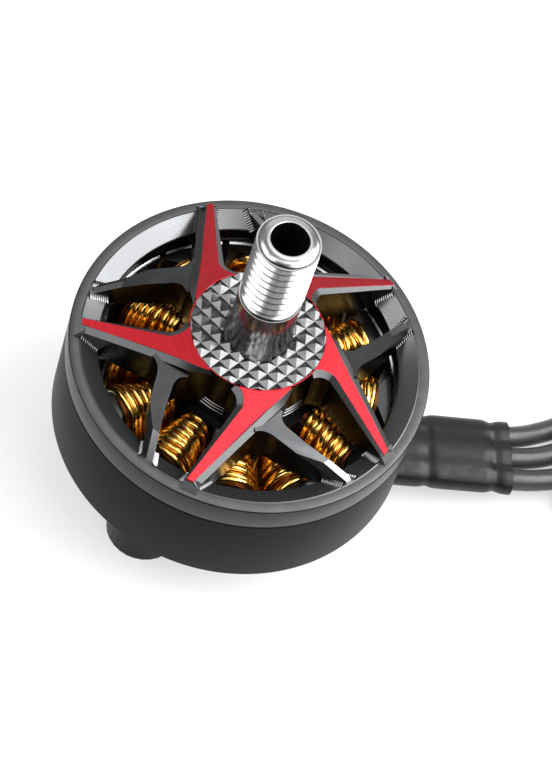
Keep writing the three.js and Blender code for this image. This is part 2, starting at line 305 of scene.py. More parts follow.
def base_anodised():
    shader = Shader("base_anodised", (0.012, 0.012, 0.0125), 0.9, 0.42)
    fine = shader.grain(8, 4)
    return shader.vary_roughness(fine, 0.06).bump(fine, 0.0015).material


def bearing_steel():
    shader = Shader("bearing_steel", (0.6, 0.6, 0.6), 1.0, 0.18)
    return shader.vary_roughness(shader.grain(3), 0.05).bump(shader.turned(9), 0.003).material


def black_screw():
    shader = Shader("screw_black", (0.03, 0.03, 0.03), 0.8, 0.4)
    return shader.vary_roughness(shader.grain(5), 0.08).bump(shader.grain(7), 0.002).material


def shim_brass():
    shader = Shader("shim_brass", (0.7, 0.5, 0.22), 1.0, 0.3)
    return shader.vary_roughness(shader.grain(4), 0.06).bump(shader.turned(9), 0.003).material


def shrink_tube():
    shader = Shader("sleeve_shrink", (0.007, 0.0065, 0.007), 0.0, 0.36, Specular_IOR_Level=0.3)
    shader.vary_roughness(shader.grain(2), 0.04).bump(shader.grain(0.9), 0.04)
    return shader.bump(shader.grain(9), 0.004).material


def silicone():
    shader = Shader("lead_silicone", (0.026, 0.026, 0.027), 0.0, 0.36, Specular_IOR_Level=0.5)
    return shader.vary_roughness(shader.grain(3), 0.06).bump(shader.grain(5), 0.012).material


def tinned_copper():
    shader = Shader("tinned_copper", (0.66, 0.66, 0.65), 1.0, 0.3)
    return shader.vary_roughness(shader.grain(5), 0.08).bump(shader.grain(4), 0.03).material


CAP = dark_anodised("cap_anodised", 0.055)
# Painted light: a lighter copy of the cap's anodised aluminium for the rim's land and the side arms' lugs
# on it.
LIT_LAND = dark_anodised("land_painted_light", 0.085)
# Painted shade: a darker copy of the cap's anodised aluminium for its outer side and the side arms' cw end
# faces.
CAP_SIDE_SHADE = dark_anodised("side_painted_shade", 0.03)
# Painted light: a lighter, less metallic copy of the cap's anodised aluminium for the main arms' toes on
# the rim.
LIT_TOE = dark_anodised("toe_painted_light", 0.12, 0.6)
SHADED_WALL = wall_painted_shade()
STEP = step_anodised("step_anodised", 0.11)
# Painted highlight: a lighter copy of the steps' finish for the bands along their edges and the last step's
# rounded edge.
STEP_HIGHLIGHT = step_anodised("step_painted_highlight", 0.125)
LEDGE = machined("ledge_anodised", 0.09, 0.3)
# Painted highlight: a lighter machined finish for the side arms' ccw end facets and the upward faces of the
# hub's grooves.
HIGHLIGHT_FACET = machined("facet_painted_highlight", 0.19, 0.26)
# Painted highlight: a bright finish for alternate halves of each flute.
FLUTE_HIGHLIGHT_PAINT = machined("flute_painted_highlight", 0.7, 0.3, 0.35)
RED = red_anodised()
KNURL = knurl_metal()
RING = black_ring()
STEEL = polished_steel("shaft_steel", 0.42)
FOOT = polished_steel("foot_steel", 0.36)
NICKEL = nickel_plate()
COPPER = enamelled_wire()
COPPER_SHADE = wire_shadow()
EPOXY = black_epoxy()
BASE = base_anodised()
BEARING = bearing_steel()
SCREW = black_screw()
SHIM = shim_brass()
SHRINK = shrink_tube()
SILICONE = silicone()
TINNED = tinned_copper()


# ---- Mesh helpers ----
def polar(radius, degrees, z=0.0):
    angle = math.radians(degrees)
    return Vector((radius * math.cos(angle), radius * math.sin(angle), z))


def smooth_step(t):
    t = min(max(t, 0), 1)
    return t * t * (3 - 2 * t)


def finished_mesh(name, bm):
    """Turns a mesh under construction, in millimetres, into a mesh in metres."""
    bmesh.ops.recalc_face_normals(bm, faces=bm.faces)
    bmesh.ops.scale(bm, vec=(MM, MM, MM), verts=bm.verts)
    data = bpy.data.meshes.new(name)
    bm.to_mesh(data)
    bm.free()
    return data


def piece(name, bm, body, materials, replaced=(), sharp=32):
    """Makes a named piece that rides on a CAD body. Edges over the sharp angle stay crisp."""
    data = finished_mesh(name, bm)
    data.shade_smooth()
    data.set_sharp_from_angle(angle=math.radians(sharp))
    for material in materials:
        data.materials.append(material)
    made = bpy.data.objects.new(name, data)
    bpy.context.scene.collection.objects.link(made)
    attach(made, body)
    if replaced:
        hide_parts(*replaced)
    return made


def bevelled(made, width, segments):
    """Rounds the sharp edges of a piece or of a CAD node as it is shown."""
    bevel = made.modifiers.new("edge", "BEVEL")
    bevel.width = width * MM
    bevel.segments = segments
    bevel.limit_method = "ANGLE"
    bevel.angle_limit = math.radians(35)
    bevel.harden_normals = True


def on_curve(start, pull, end, t):
    """The point at t, from 0 to 1, on a quadratic curve."""
    return start * (1 - t) ** 2 + pull * 2 * t * (1 - t) + end * t * t


def bend(start, pull, end, steps):
    """The points of a quadratic curve after its start, as pairs."""
    ends = Vector(start), Vector(pull), Vector(end)
    return [tuple(on_curve(*ends, k / steps)) for k in range(1, steps + 1)]


def softened(profile, radius, steps):
    """A closed profile with its corners rounded by up to the given radius."""
    made = []
    count = len(profile)
    points = [Vector(p) for p in profile]
    for i, corner in enumerate(points):
        before, after = points[i - 1] - corner, points[(i + 1) % count] - corner
        cut = min(radius, 0.45 * before.length, 0.45 * after.length)
        start, end = corner + before.normalized() * cut, corner + after.normalized() * cut
        made += [on_curve(start, corner, end, k / steps) for k in range(steps + 1)]
    return made


def lathe(bm, profile, segments):
    """Turns a closed profile of radius and height pairs round the spin axis."""
    rings = []
    for i in range(segments):
        angle = 2 * math.pi * i / segments
        rings.append([bm.verts.new((r * math.cos(angle), r * math.sin(angle), z)) for r, z in profile])
    count = len(profile)
    for i in range(segments):
        here, there = rings[i], rings[(i + 1) % segments]
        for j in range(count):
            k = (j + 1) % count
            bm.faces.new((here[j], there[j], there[k], here[k]))


def loft(bm, rings, material=0):
    """Joins closed rings of equal count, and closes both ends."""
    made = [[bm.verts.new(p) for p in ring] for ring in rings]
    count = len(rings[0])
    for lower, upper in zip(made, made[1:]):
        for j in range(count):
            k = (j + 1) % count
            bm.faces.new((lower[j], lower[k], upper[k], upper[j])).material_index = material
    bm.faces.new(list(reversed(made[0]))).material_index = material
    bm.faces.new(made[-1]).material_index = material


def tube(bm, path, radius, sides):
    """A round tube along a path of points, closed at both ends."""
    last = len(path) - 1
    normal = (path[1] - path[0]).normalized().orthogonal()
    rings = []
    for i, point in enumerate(path):
        heading = (path[min(i + 1, last)] - path[max(i - 1, 0)]).normalized()
        normal = (normal - heading * normal.dot(heading)).normalized()
        across = heading.cross(normal)
        rings.append([
            point + (normal * math.cos(a) + across * math.sin(a)) * radius
            for a in (2 * math.pi * k / sides for k in range(sides))
        ])
    loft(bm, rings)


# ---- Leads ----
# The middle lead's way out: x, y, z and the spacing to the leads beside it, as in the CAD model.
LEAD_ROUTE = [
    (9.6, -0.82, 3.2, 2.05),
    (11.7, -0.99, 3.09, 2.05),
    (13.8, -1.16, 2.97, 2.05),
    (15.9, -1.33, 2.86, 2.05),
    (18, -1.5, 2.75, 2.05),
    (20.1, -1.67, 2.63, 2.05),
    (22.2, -1.84, 2.52, 2.05),
    (24.4, -2, 2.4, 2.05),
    (26.3, -1.8, 2.03, 2.15),
    (28.1, -1.32, 1.62, 2.25),
    (30.4, -0.3, 1.15, 2.15),
    (31.9, 0.62, 0.97, 2),
    (33.2, 1.62, 0.9, 1.9),
    (34.3, 2.6, 0.9, 1.8),
    (35.36, 3.64, 0.9, 1.8),
]
SLEEVE_END = 7  # the route's point where the heat shrink stops
LOOP_CENTRE = Vector((43, -4, 0))
LOOP_R = 10.8  # the middle lead's radius in the coil
LOOP_ENTRY = 135  # where the leads meet the coil, degrees
LOOP_POINTS = 18  # on each turn
CLIMB_START = 0.6  # where a turn climbs onto the one before it, as a share of the turn
CLIMB_LENGTH = 0.18


def lead_heading(i):
    before, after = LEAD_ROUTE[max(i - 1, 0)], LEAD_ROUTE[min(i + 1, len(LEAD_ROUTE) - 1)]
    return math.atan2(after[1] - before[1], after[0] - before[0])


def lead_path(lane):
    """One lead's points: the route shifted sideways, then a flat coil until its length is used up."""
    points = []
    for i, (x, y, z, spacing) in enumerate(LEAD_ROUTE):
        heading, aside = lead_heading(i), lane * spacing
        points.append(Vector((x - aside * math.sin(heading), y + aside * math.cos(heading), z)))
    radius = LOOP_R + 2 * WIRE_R * lane
    used = sum((b - a).length for a, b in zip(points, points[1:]))
    step = 0
    while used < LEAD_LENGTH:
        step += 1
        turns = step / LOOP_POINTS
        lift = sum(smooth_step((turns - k - CLIMB_START) / CLIMB_LENGTH) for k in (0, 1))
        point = LOOP_CENTRE + polar(radius, LOOP_ENTRY - 360 * turns, WIRE_R + 2 * WIRE_R * lift)
        used += (point - points[-1]).length
        points.append(point)
    return points


def add_lead(name, lane):
    points = lead_path(lane)
    curve = bpy.data.curves.new(name, "CURVE")
    curve.dimensions = "3D"
    curve.bevel_depth = WIRE_R * MM
    curve.bevel_resolution = 5
    curve.resolution_u = 6
    curve.use_fill_caps = True
    curve.materials.append(SILICONE)
    spline = curve.splines.new("BEZIER")
    spline.bezier_points.add(len(points) - 1)
    for knot, point in zip(spline.bezier_points, points):
        knot.co = point * MM
        knot.handle_left_type = knot.handle_right_type = "AUTO"
    made = bpy.data.objects.new(name, curve)
    bpy.context.scene.collection.objects.link(made)
    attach(made, "stator")
    end = add_lead_end(f"{name}_end", points[-1], (points[-1] - points[-2]).normalized())
    return made


def add_lead_end(name, point, heading):
    """The stripped and tinned end of a lead: a bundle of strands with a rounded tip."""
    bm = bmesh.new()
    across = heading.cross(Vector((0, 0, 1))).normalized()
    up = across.cross(heading)
    steps, sides = 9, 24
    length, radius = 2.6, 0.5
    strands, strand_relief, twist = 6, 0.07, 1.2
    tip_start, tip_share = 0.75, 0.27
    rings = []
    for i in range(steps + 1):
        t = i / steps
        size = radius * math.sqrt(max(1 - max((t - tip_start) / tip_share, 0) ** 2, 0.02))
        ring = []
        for a in (2 * math.pi * k / sides for k in range(sides)):
            outwards = across * math.cos(a) + up * math.sin(a)
            swell = 1 + strand_relief * math.cos(strands * (a + twist * t))
            ring.append(point + heading * (length * t - 0.05) + outwards * size * swell)
        rings.append(ring)
    loft(bm, rings)
    return piece(name, bm, "stator", [TINNED])


leads = [add_lead(f"lead_{i + 1}", lane) for i, lane in enumerate((1, 0, -1))]
for i, made in enumerate(leads):
    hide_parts(f"wire_{i + 1}", "lead_coil")


def add_lead_tie():
    """The tie that holds the coil, a flat band round all its turns."""
    half_wide, low, high, half_long = 2.95, 0.02, 5.35, 1.2
    wall, sole = 0.3, 0.1
    middle = polar(LOOP_R, -45) + LOOP_CENTRE
    outwards = polar(1, -45)
    along = Vector((0, 0, 1)).cross(outwards)

    def rounded_box(half, bottom, top):
        return softened([(-half, bottom), (half, bottom), (half, top), (-half, top)], 0.75, 6)

    outside = rounded_box(half_wide, low, high)
    inside = rounded_box(half_wide - wall, low + sole, high - wall)
    bm = bmesh.new()
    loops = [
        [bm.verts.new(middle + outwards * x + along * side + Vector((0, 0, z))) for x, z in outline]
        for outline, side in (
            (inside, -half_long), (outside, -half_long), (outside, half_long), (inside, half_long),
        )
    ]
    count = len(outside)
    for here, there in zip(loops, loops[1:] + loops[:1]):
        for j in range(count):
            k = (j + 1) % count
            bm.faces.new((here[j], here[k], there[k], there[j]))
    piece("lead_tie", bm, "stator", [SHRINK])


add_lead_tie()


def add_sleeve():
    """Heat shrink over the three leads: it hugs them at its necks and bulges between."""
    start, end = (Vector(LEAD_ROUTE[i][:3]) for i in (0, SLEEVE_END))
    along = (end - start).normalized()
    across = Vector((0, 0, 1)).cross(along).normalized()
    up = along.cross(across)
    length = (end - start).length - 0.3
    necks = ((0.9, 1), (0.5, 0.8))  # share of the length, and depth beside the deepest
    neck_spread = 0.03
    dent_spacing, dent_reach = 2.15, 2.1  # the dents fall between the leads
    stations, sides = 60, 72
    wall = 0.3

    def ring(t, inset):
        neck = sum(deep * math.exp(-((t - at) / neck_spread) ** 2) for at, deep in necks)
        flare = smooth_step((t - 0.93) / 0.05)
        half_wide = 3.33 - 0.2 * neck + 0.02 * flare - inset
        half_high = 1.4 - 0.14 * neck - 0.05 * smooth_step((t - 0.8) / 0.2) - inset
        dent = 0.03 + 0.12 * smooth_step((t - 0.82) / 0.16) + 0.04 * neck
        loop = []
        for k in range(sides):
            angle = 2 * math.pi * k / sides
            c, s = math.cos(angle), math.sin(angle)
            y = half_wide * math.copysign(abs(c) ** 0.72, c)
            z = half_high * math.copysign(abs(s) ** 0.8, s)
            share = 1 if abs(y) < dent_reach else 0.2
            z *= 1 - dent * (1 - math.cos(2 * math.pi * y / dent_spacing)) * share
            loop.append(start + along * (0.15 + length * t) + across * y + up * z)
        return loop

    skin = [ring(i / stations, 0) for i in range(stations + 1)]
    mouth = [ring(1 - 0.01 * i, wall + 0.02 * i) for i in range(8)]
    bm = bmesh.new()
    loft(bm, skin + [ring(1, 0.12)] + mouth)
    piece("sleeve_skin", bm, "stator", [SHRINK], ["lead_sleeve"], sharp=50)


add_sleeve()


# ---- Bell cap ----
def cone_top(x, y):
    """The height of the arms' tops, a shallow cone that ends in the seat's lip."""
    return min(LIP_TOP, ARM_TIP_Z + ARM_FALL * (ARM_TIP_R - math.hypot(x, y)))


def step_profile():
    """The milled steps that fall inwards from the rim's top."""
    points = []
    deep, wide = (RIM_TOP - STEP_INNER_Z) / STEP_COUNT, (RIM_INNER_R - STEP_INNER_R) / STEP_COUNT
    for i in range(STEP_COUNT):
        r, z = RIM_INNER_R - wide * i, RIM_TOP - deep * i
        points.append((r, z))
        points += [(r - share * wide, z - share * deep - STEP_SAG) for share in (STEP_HIGHLIGHT_SHARE, 1 - STEP_HIGHLIGHT_SHARE)]
    return points


def add_cap_rim():
    """The cap's outer ring: a spigot, the side, the land on top and the milled steps inside it."""
    side_top = RIM_TOP - RIM_FALL
    nose_r, nose_z = STEP_INNER_R + 0.07, STEP_INNER_Z - 0.09  # the last step's rounded edge
    outer = softened([
        (SPIGOT_INNER_R, STEP_BOTTOM), (SPIGOT_INNER_R, SPIGOT_BOTTOM), (SPIGOT_OUTER_R, SPIGOT_BOTTOM),
        (SPIGOT_OUTER_R, SEAM), (BELL_R - 0.14, SEAM), (BELL_R, SEAM + 0.07),
        (BELL_R, side_top - 0.08), (RIM_OUTER_R, side_top), (13.6, RIM_TOP),
    ], 0.03, 2)
    nose = [(nose_r, STEP_INNER_Z), (STEP_INNER_R, nose_z), (STEP_INNER_R, STEP_BOTTOM)]
    bm = bmesh.new()
    lathe(bm, outer + step_profile() + nose, 256)
    step, wall, side, line = 1, 2, 3, 4
    for face in bm.faces:
        middle = face.calc_center_median()
        distance = math.hypot(middle.x, middle.y)
        # Inside the last step, its rounded edge takes the painted highlight and the wall below it the
        # painted shade.
        if distance < nose_r - 0.01:
            face.material_index = line if middle.z > nose_z else wall
        # On the steps, the band along each edge takes the painted highlight.
        elif distance < RIM_INNER_R:
            across = (RIM_INNER_R - distance) * STEP_COUNT / (RIM_INNER_R - STEP_INNER_R) % 1
            face.material_index = line if across < STEP_HIGHLIGHT_SHARE else step
        # The cap's outer side takes the painted-shade copy.
        elif distance > RIM_OUTER_R:
            face.material_index = side
    # Slot 0, the land on top of the rim, takes the painted-light copy.
    piece("cap_rim", bm, "rotor", [LIT_LAND, STEP, SHADED_WALL, CAP_SIDE_SHADE, STEP_HIGHLIGHT], ["bell_cap"])


def add_cap_hub():
    """The hub: a boss over the shim, grooved below the arms, with the seat's recess on top."""
    grooves = [(5.63, HUB_FLOOR, 14.98), (5.56, 15.02, 15.3), (5.49, 15.34, 15.56)]  # radius, bottom, top
    groove_top = 15.6
    knurl_floor = SEAT_TOP - 0.42
    profile = [(HUB_BORE_R, HUB_BOTTOM), (BOSS_R, HUB_BOTTOM), (BOSS_R, HUB_FLOOR)]
    for r, bottom, top in grooves:
        profile += [(r, bottom), (r, top)]
    profile += [
        (LIP_R, groove_top), (LIP_R, LIP_TOP), (SEAT_R, LIP_TOP), (SEAT_R, knurl_floor),
        (RECESS_R, knurl_floor), (RECESS_R, SEAT_TOP - RECESS_DEPTH), (HUB_BORE_R, SEAT_TOP - RECESS_DEPTH),
    ]
    bm = bmesh.new()
    lathe(bm, softened(profile, 0.02, 3), 192)
    bmesh.ops.recalc_face_normals(bm, faces=bm.faces)
    # The hub's body takes the painted-shade wall material; the upward faces of its grooves take a painted
    # highlight.
    red, painted_highlight = 1, 2
    for face in bm.faces:
        middle = face.calc_center_median()
        if middle.z > LIP_TOP - 0.06:
            face.material_index = red
        if middle.z < groove_top + 0.1 and math.hypot(middle.x, middle.y) > 5.4 and face.normal.z > 0.5:
            face.material_index = painted_highlight
    piece("cap_hub", bm, "rotor", [SHADED_WALL, RED, HIGHLIGHT_FACET])


def add_knurl():
    """Square pyramids over the seat, trimmed to its ring by an exact cut."""
    pitch, height, azimuth, flat = 1.06, 0.39, 38.1, 0.05
    inner_r, sharp = 2.68, 20
    span = math.ceil(SEAT_R / pitch) + 1
    turn = Matrix.Rotation(math.radians(azimuth), 3, "Z")
    bm = bmesh.new()
    for i in range(-span, span):
        for j in range(-span, span):
            low = [
                turn @ Vector(((i + a) * pitch, (j + b) * pitch, 0))
                for a, b in ((0, 0), (1, 0), (1, 1), (0, 1))
            ]
            middle = sum(low, Vector()) / 4
            base = [bm.verts.new(p + Vector((0, 0, SEAT_TOP - height))) for p in low]
            top = [bm.verts.new(middle.lerp(p, flat) + Vector((0, 0, SEAT_TOP))) for p in low]
            for k in range(4):
                n = (k + 1) % 4
                bm.faces.new((base[k], base[n], top[n], top[k]))
            bm.faces.new(top)
    bmesh.ops.remove_doubles(bm, verts=bm.verts, dist=1e-4)
    rim = [e for e in bm.edges if e.is_boundary]
    for v in bmesh.ops.extrude_edge_only(bm, edges=rim)["geom"]:
        if isinstance(v, bmesh.types.BMVert):
            v.co.z = SEAT_TOP - 1.5
    bmesh.ops.contextual_create(bm, geom=[e for e in bm.edges if e.is_boundary])
    made = piece("seat_knurl", bm, "rotor", [KNURL], sharp=sharp)
    cutter_bm = bmesh.new()
    low, high = SEAT_TOP - 1, SEAT_TOP + 1
    lathe(cutter_bm, [(inner_r, low), (SEAT_R, low), (SEAT_R, high), (inner_r, high)], 128)
    cutter = bpy.data.objects.new("cutter", finished_mesh("cutter", cutter_bm))
    bpy.context.scene.collection.objects.link(cutter)
    cut = made.modifiers.new("ring", "BOOLEAN")
    cut.operation = "INTERSECT"
    cut.solver = "EXACT"
    cut.object = cutter
    bpy.context.view_layer.update()
    made.data = bpy.data.meshes.new_from_object(made.evaluated_get(bpy.context.evaluated_depsgraph_get()))
    made.modifiers.clear()
    made.data.set_sharp_from_angle(angle=math.radians(sharp))
    bpy.data.objects.remove(cutter)


def turned(points, degrees):
    turn = Matrix.Rotation(math.radians(degrees), 3, "Z")
    return [turn @ Vector(p) for p in points]


# The main arm's outline, in axes where the arm runs along x.
KINK = [(5.25, 0.2), *bend((5.25, 0.2), (5.7, 1.25), (6.8, 1.37), 6)]
ARM_TIP_RIGHT = (ARM_TIP_R, -0.3)
ARM_TIP_LEFT = (ARM_TIP_R, 0.25)
BAND_TIP = (ARM_TIP_R, -0.5)
ARM_ROOT_LEFT = (3.6, 4.2)
LEDGE_WIDTH = 0.5
LEDGE_DROP = 0.1  # from the red land to the ledge beside it
LEDGE_FALL = 0.28  # across the ledge
BAND_WIDTH = 0.5  # the light band along the red land's other edge
BAND_FALL = 0.33  # across the band


def beside(path, distance):
    """A path of x and y pairs shifted to its right."""
    shifted = []
    for k, point in enumerate(path):
        before, after = Vector(path[max(k - 1, 0)]), Vector(path[min(k + 1, len(path) - 1)])
        heading = (after - before).normalized()
        shifted.append((point[0] + heading.y * distance, point[1] - heading.x * distance))
    return shifted


def lowered(path, drop):
    """A path's points at the given drop below the cone of the arms' tops."""
    return [(x, y, cone_top(x, y) - drop) for x, y in path]


def at_height(outline, z):
    return [(x, y, z) for x, y in outline]


def strip(bm, rails, angle, material):
    """A solid bar whose corners run along the given rails."""
    loft(bm, [turned(section, angle) for section in zip(*rails)], material)


def add_main_arm(index, angle):
    """A red-topped arm: a body darkened as painted shade, the red land on it, a light band and a sloping
    ledge beside it.
    """
    red, light, painted_light_toe = 1, 2, 3
    right_side = [*KINK, ARM_TIP_RIGHT]
    root = [tuple(polar(SEAT_R + 0.03, degrees).xy) for degrees in range(48, 2, -5)]
    land = [*right_side, ARM_TIP_LEFT, ARM_ROOT_LEFT, *root]
    band = [*beside(right_side, BAND_WIDTH)[:-1], BAND_TIP]
    wide = band + land[len(right_side):]
    bm = bmesh.new()
    loft(bm, [turned(ring, angle) for ring in (
        at_height(wide, ARM_BOTTOM), lowered(wide, BAND_FALL + 0.1), lowered(land, 0.25),
    )])
    loft(bm, [turned(lowered(land, drop), angle) for drop in (0.3, 0)], red)
    strip(bm, [
        lowered(beside(right_side, -0.1), 0.2), lowered(right_side, 0.03),
        lowered(band, BAND_FALL), lowered(band, BAND_FALL + 0.2),
    ], angle, light)
    tip, root_end = Vector(ARM_TIP_LEFT), Vector(ARM_ROOT_LEFT)
    inner = [tuple(tip.lerp(root_end, k / 8)) for k in range(9)]
    under = beside(inner, -0.2)
    outer = beside(inner, LEDGE_WIDTH)
    outer[-1] = tuple(polar(LIP_R + 0.02, 53).xy)
    strip(bm, [
        lowered(under, 0.3), lowered(inner, LEDGE_DROP), lowered(outer, LEDGE_DROP + LEDGE_FALL),
        at_height(outer, ARM_BOTTOM), at_height(under, ARM_BOTTOM),
    ], angle, 0)
    bm.normal_update()
    # Upward faces of the body above the rim take the ledge finish; steep faces of the light strips take the
    # painted-shade wall material.
    for face in bm.faces:
        level, high = face.normal.z > 0.5, face.calc_center_median().z > RIM_TOP
        if face.material_index == 0 and level and high:
            face.material_index = light
        elif face.material_index == light and not level:
            face.material_index = 0
    # The toe where the arm meets the rim takes the painted-light toe material.
    toe = [(13.3, -0.5), (14.03, -0.5), (14.03, 0.86), (13.3, 0.86)]
    high, low = cone_top(ARM_TIP_R, 0) - 0.02, RIM_TOP - 0.02
    toe_top = [(x, y, z) for (x, y), z in zip(toe, (high, low, low, high))]
    loft(bm, [turned(ring, angle) for ring in (at_height(toe, ARM_BOTTOM), toe_top)], painted_light_toe)
    made = piece(f"main_arm_{index}", bm, "rotor", [SHADED_WALL, RED, LEDGE, LIT_TOE])
    bevelled(made, 0.035, 2)


# The side arm's edges in the main arm's own axes, from the root to where its end begins.
SIDE_CW = [(6.6, 2.2), *bend((8.3, 2.8), (7.35, 3.2), (7.45, 4.4), 5), (7.8, 6.5)]
SIDE_CCW = [(6.54, 6.95), (6.22, 5.5), *bend((6.22, 5.5), (6.1, 4.3), (5.1, 4.3), 5), (4.4, 3.3)]
# The end's corners with their heights above the shoulder, each pair at the end's start and at the rim.
END_RIDGE = [(7.31, 8.73, 1.18), (7.58, 10.88, 0.34)]
END_CCW = [(6.81, 9.03, 1.125), (7.04, 11.27, 0.34)]
END_CW = [(7.8, 8.8, 0.7), (8.06, 11.0, -0.22)]
# Where the arm's end lies on the rim.
LUG = [(x, y, 0.24) for x, y in ((8.41, 11.39), (7.9, 11.44), (7.3, 11.83))]


def add_side_arm(index, angle):
    """A dark arm beside the main one, its outer end cut into two slopes that meet in a ridge."""
    top_face, shaded, end_highlight, land = 1, 2, 3, 4

    def falling(outline):
        """Adds the arm's height above the shoulder, which falls as the arm runs out."""
        return [(x, y, 2.2 - 0.22 * (y - 4)) for x, y in outline]

    def above_shoulder(points):
        return turned([(x, y, SHOULDER + h) for x, y, h in points], angle)

    edge = falling(SIDE_CW) + END_CW + LUG + END_CCW[::-1] + falling(SIDE_CCW)
    bm = bmesh.new()
    low = [bm.verts.new(p) for p in turned([(x, y, ARM_BOTTOM) for x, y, _ in edge], angle)]
    high = [bm.verts.new(p) for p in above_shoulder(edge)]
    for here, there, above, beyond in zip(low, low[1:] + low[:1], high, high[1:] + high[:1]):
        bm.faces.new((here, there, beyond, above))
    bm.faces.new(low[::-1])
    start, end = (bm.verts.new(p) for p in above_shoulder(END_RIDGE))
    first = len(SIDE_CW)
    cw, lug, ccw = high[first:first + 2], high[first + 2:first + 5], high[first + 5:first + 7]
    # The cw end faces take the painted-shade side material, the ccw facet a painted highlight and the lug
    # on the rim the painted-light land.
    for corners, material in (
        ((*high[:first], start, *high[first + 6:]), top_face),
        ((high[first - 1], cw[0], start), shaded),
        ((start, cw[0], cw[1], end), shaded),
        ((end, cw[1], lug[0]), shaded),
        ((start, end, ccw[0], ccw[1]), end_highlight),
        ((end, *lug, ccw[0]), land),
    ):
        bm.faces.new(corners).material_index = material
    made = piece(f"side_arm_{index}", bm, "rotor", [SHADED_WALL, CAP, CAP_SIDE_SHADE, HIGHLIGHT_FACET, LIT_LAND])
    bevelled(made, 0.03, 2)


# ---- Fluted ends of the steps ----
FILLET_R = 0.4
FLUTE_DEPTH = 0.07
FLUTE_SAMPLES = 6  # rings along each flute
FILLET_POINTS = 6
SUNK = 0.05  # how far the fillets reach into the arms


def step_end_section(on_wall, away, floor_z, cut):
    """A fillet's section between an arm's wall and the steps: pairs of a point and a height."""
    section = [(on_wall - away * SUNK, floor_z + FILLET_R)]
    size = FILLET_R + cut
    for k in range(FILLET_POINTS):
        a = math.pi / 2 * k / (FILLET_POINTS - 1)
        point = on_wall + away * (FILLET_R - size * math.cos(a))
        section.append((point, floor_z + FILLET_R - size * math.sin(a)))
    section += [(on_wall + away * FILLET_R, floor_z - 0.1), (on_wall - away * SUNK, floor_z - 0.1)]
    return [(p.x, p.y, z) for p, z in section]


def step_end_rings(wall, side):
    """The sections of one fluted end, from the innermost step to the rim."""
    start, end = (Vector(p) for p in wall)
    along = (end - start).normalized()
    away = Vector((along.y, -along.x)) * side
    closest = start.dot(along)
    count = STEP_COUNT * FLUTE_SAMPLES
    rings = []
    for i in range(count + 1):
        t = i / count
        r = STEP_INNER_R + 0.03 + (RIM_INNER_R - STEP_INNER_R - 0.05) * t
        on_wall = start + along * (math.sqrt(r * r - start.length_squared + closest ** 2) - closest)
        floor_z = STEP_INNER_Z + (RIM_TOP - STEP_INNER_Z) * t - 0.02
        cut = FLUTE_DEPTH * abs(math.sin(math.pi * i / FLUTE_SAMPLES))
        rings.append(step_end_section(on_wall, away, floor_z, cut))
    return rings


def add_step_ends():
    """The fluted fillets the cutter leaves where the rim's steps run into the arms."""
    highlight_half = 1
    ledge_edge = beside([ARM_TIP_LEFT, ARM_ROOT_LEFT], LEDGE_WIDTH)
    walls = [
        ((beside([KINK[-1], BAND_TIP], BAND_WIDTH)[0], BAND_TIP), 1), (ledge_edge[::-1], -1),
        ([corner[:2] for corner in END_CW], 1), ([corner[:2] for corner in END_CCW], -1),
    ]
    bm = bmesh.new()
    for angle in ARM_ANGLES:
        for wall, side in walls:
            rings = [turned(ring, angle) for ring in step_end_rings(wall, side)]
            first, around = len(bm.faces), len(rings[0])
            loft(bm, rings)
            bm.faces.ensure_lookup_table()
            for i in range(len(rings) - 1):
                # The first half of each flute takes the painted highlight; the rest takes the painted-shade
                # wall material.
                if i % FLUTE_SAMPLES < FLUTE_SAMPLES / 2:
                    for face in bm.faces[first + i * around:first + (i + 1) * around]:
                        face.material_index = highlight_half
    piece("step_ends", bm, "rotor", [SHADED_WALL, FLUTE_HIGHLIGHT_PAINT], sharp=70)


add_cap_rim()
add_cap_hub()
add_knurl()
for i, angle in enumerate(ARM_ANGLES):
    add_main_arm(i + 1, angle)
    add_side_arm(i + 1, angle)
add_step_ends()


# ---- Flux ring ----
def add_flux_ring():
    """The steel ring round the magnets, with a fine groove left open under the cap."""
    inner_r, chamfer = 13.23, 0.2
    top = SEAM - 0.06
    bm = bmesh.new()
    lathe(bm, softened([
        (inner_r, BELL_BOTTOM), (BELL_R - chamfer, BELL_BOTTOM), (BELL_R, BELL_BOTTOM + chamfer),
        (BELL_R, SEAM - 0.15), (BELL_R - 0.14, top), (inner_r, top),
    ], 0.03, 2), 256)
    piece("ring_shell", bm, "rotor", [RING], ["flux_ring"])


add_flux_ring()


# ---- Shaft ----
def thread_radius(phase):
    """The thread's radius at a share of its pitch: a flat crest, a flank, a flat root and a flank."""
    if phase <= THREAD_CREST:
        return THREAD_R
    depth = min((phase - THREAD_CREST) / THREAD_FLANK, 1, (1 - phase) / THREAD_FLANK)
    return THREAD_R - THREAD_DEPTH * depth


def add_thread(bm, top):
    """The thread as a true helix, one grid wound from its run-out up to the given height."""
    sides, rows = 96, 8
    runout_depth, runout_slope, runout_height = 0.37, 0.9, 0.15
    count = int((top - THREAD_LOW) / THREAD_PITCH + 1) * rows
    grid = []
    for j in range(-rows, count + 1):
        line = []
        for i in range(sides):
            z = min(max(THREAD_LOW + THREAD_PITCH * (j / rows + i / sides), THREAD_LOW), top)
            runout = THREAD_R - runout_depth + max(0, runout_slope * (z - THREAD_LOW - runout_height))
            line.append(bm.verts.new(polar(min(thread_radius((j / rows) % 1), runout), 360 * i / sides, z)))
        grid.append(line)
    for j in range(len(grid) - 1):
        for i in range(sides - 1):
            bm.faces.new((grid[j][i], grid[j][i + 1], grid[j + 1][i + 1], grid[j + 1][i]))
        if j + rows + 1 < len(grid):
            bm.faces.new((grid[j][-1], grid[j + rows][0], grid[j + rows + 1][0], grid[j + 1][-1]))
    bmesh.ops.remove_doubles(bm, verts=bm.verts, dist=1e-4)
    bmesh.ops.dissolve_degenerate(bm, edges=bm.edges, dist=1e-4)


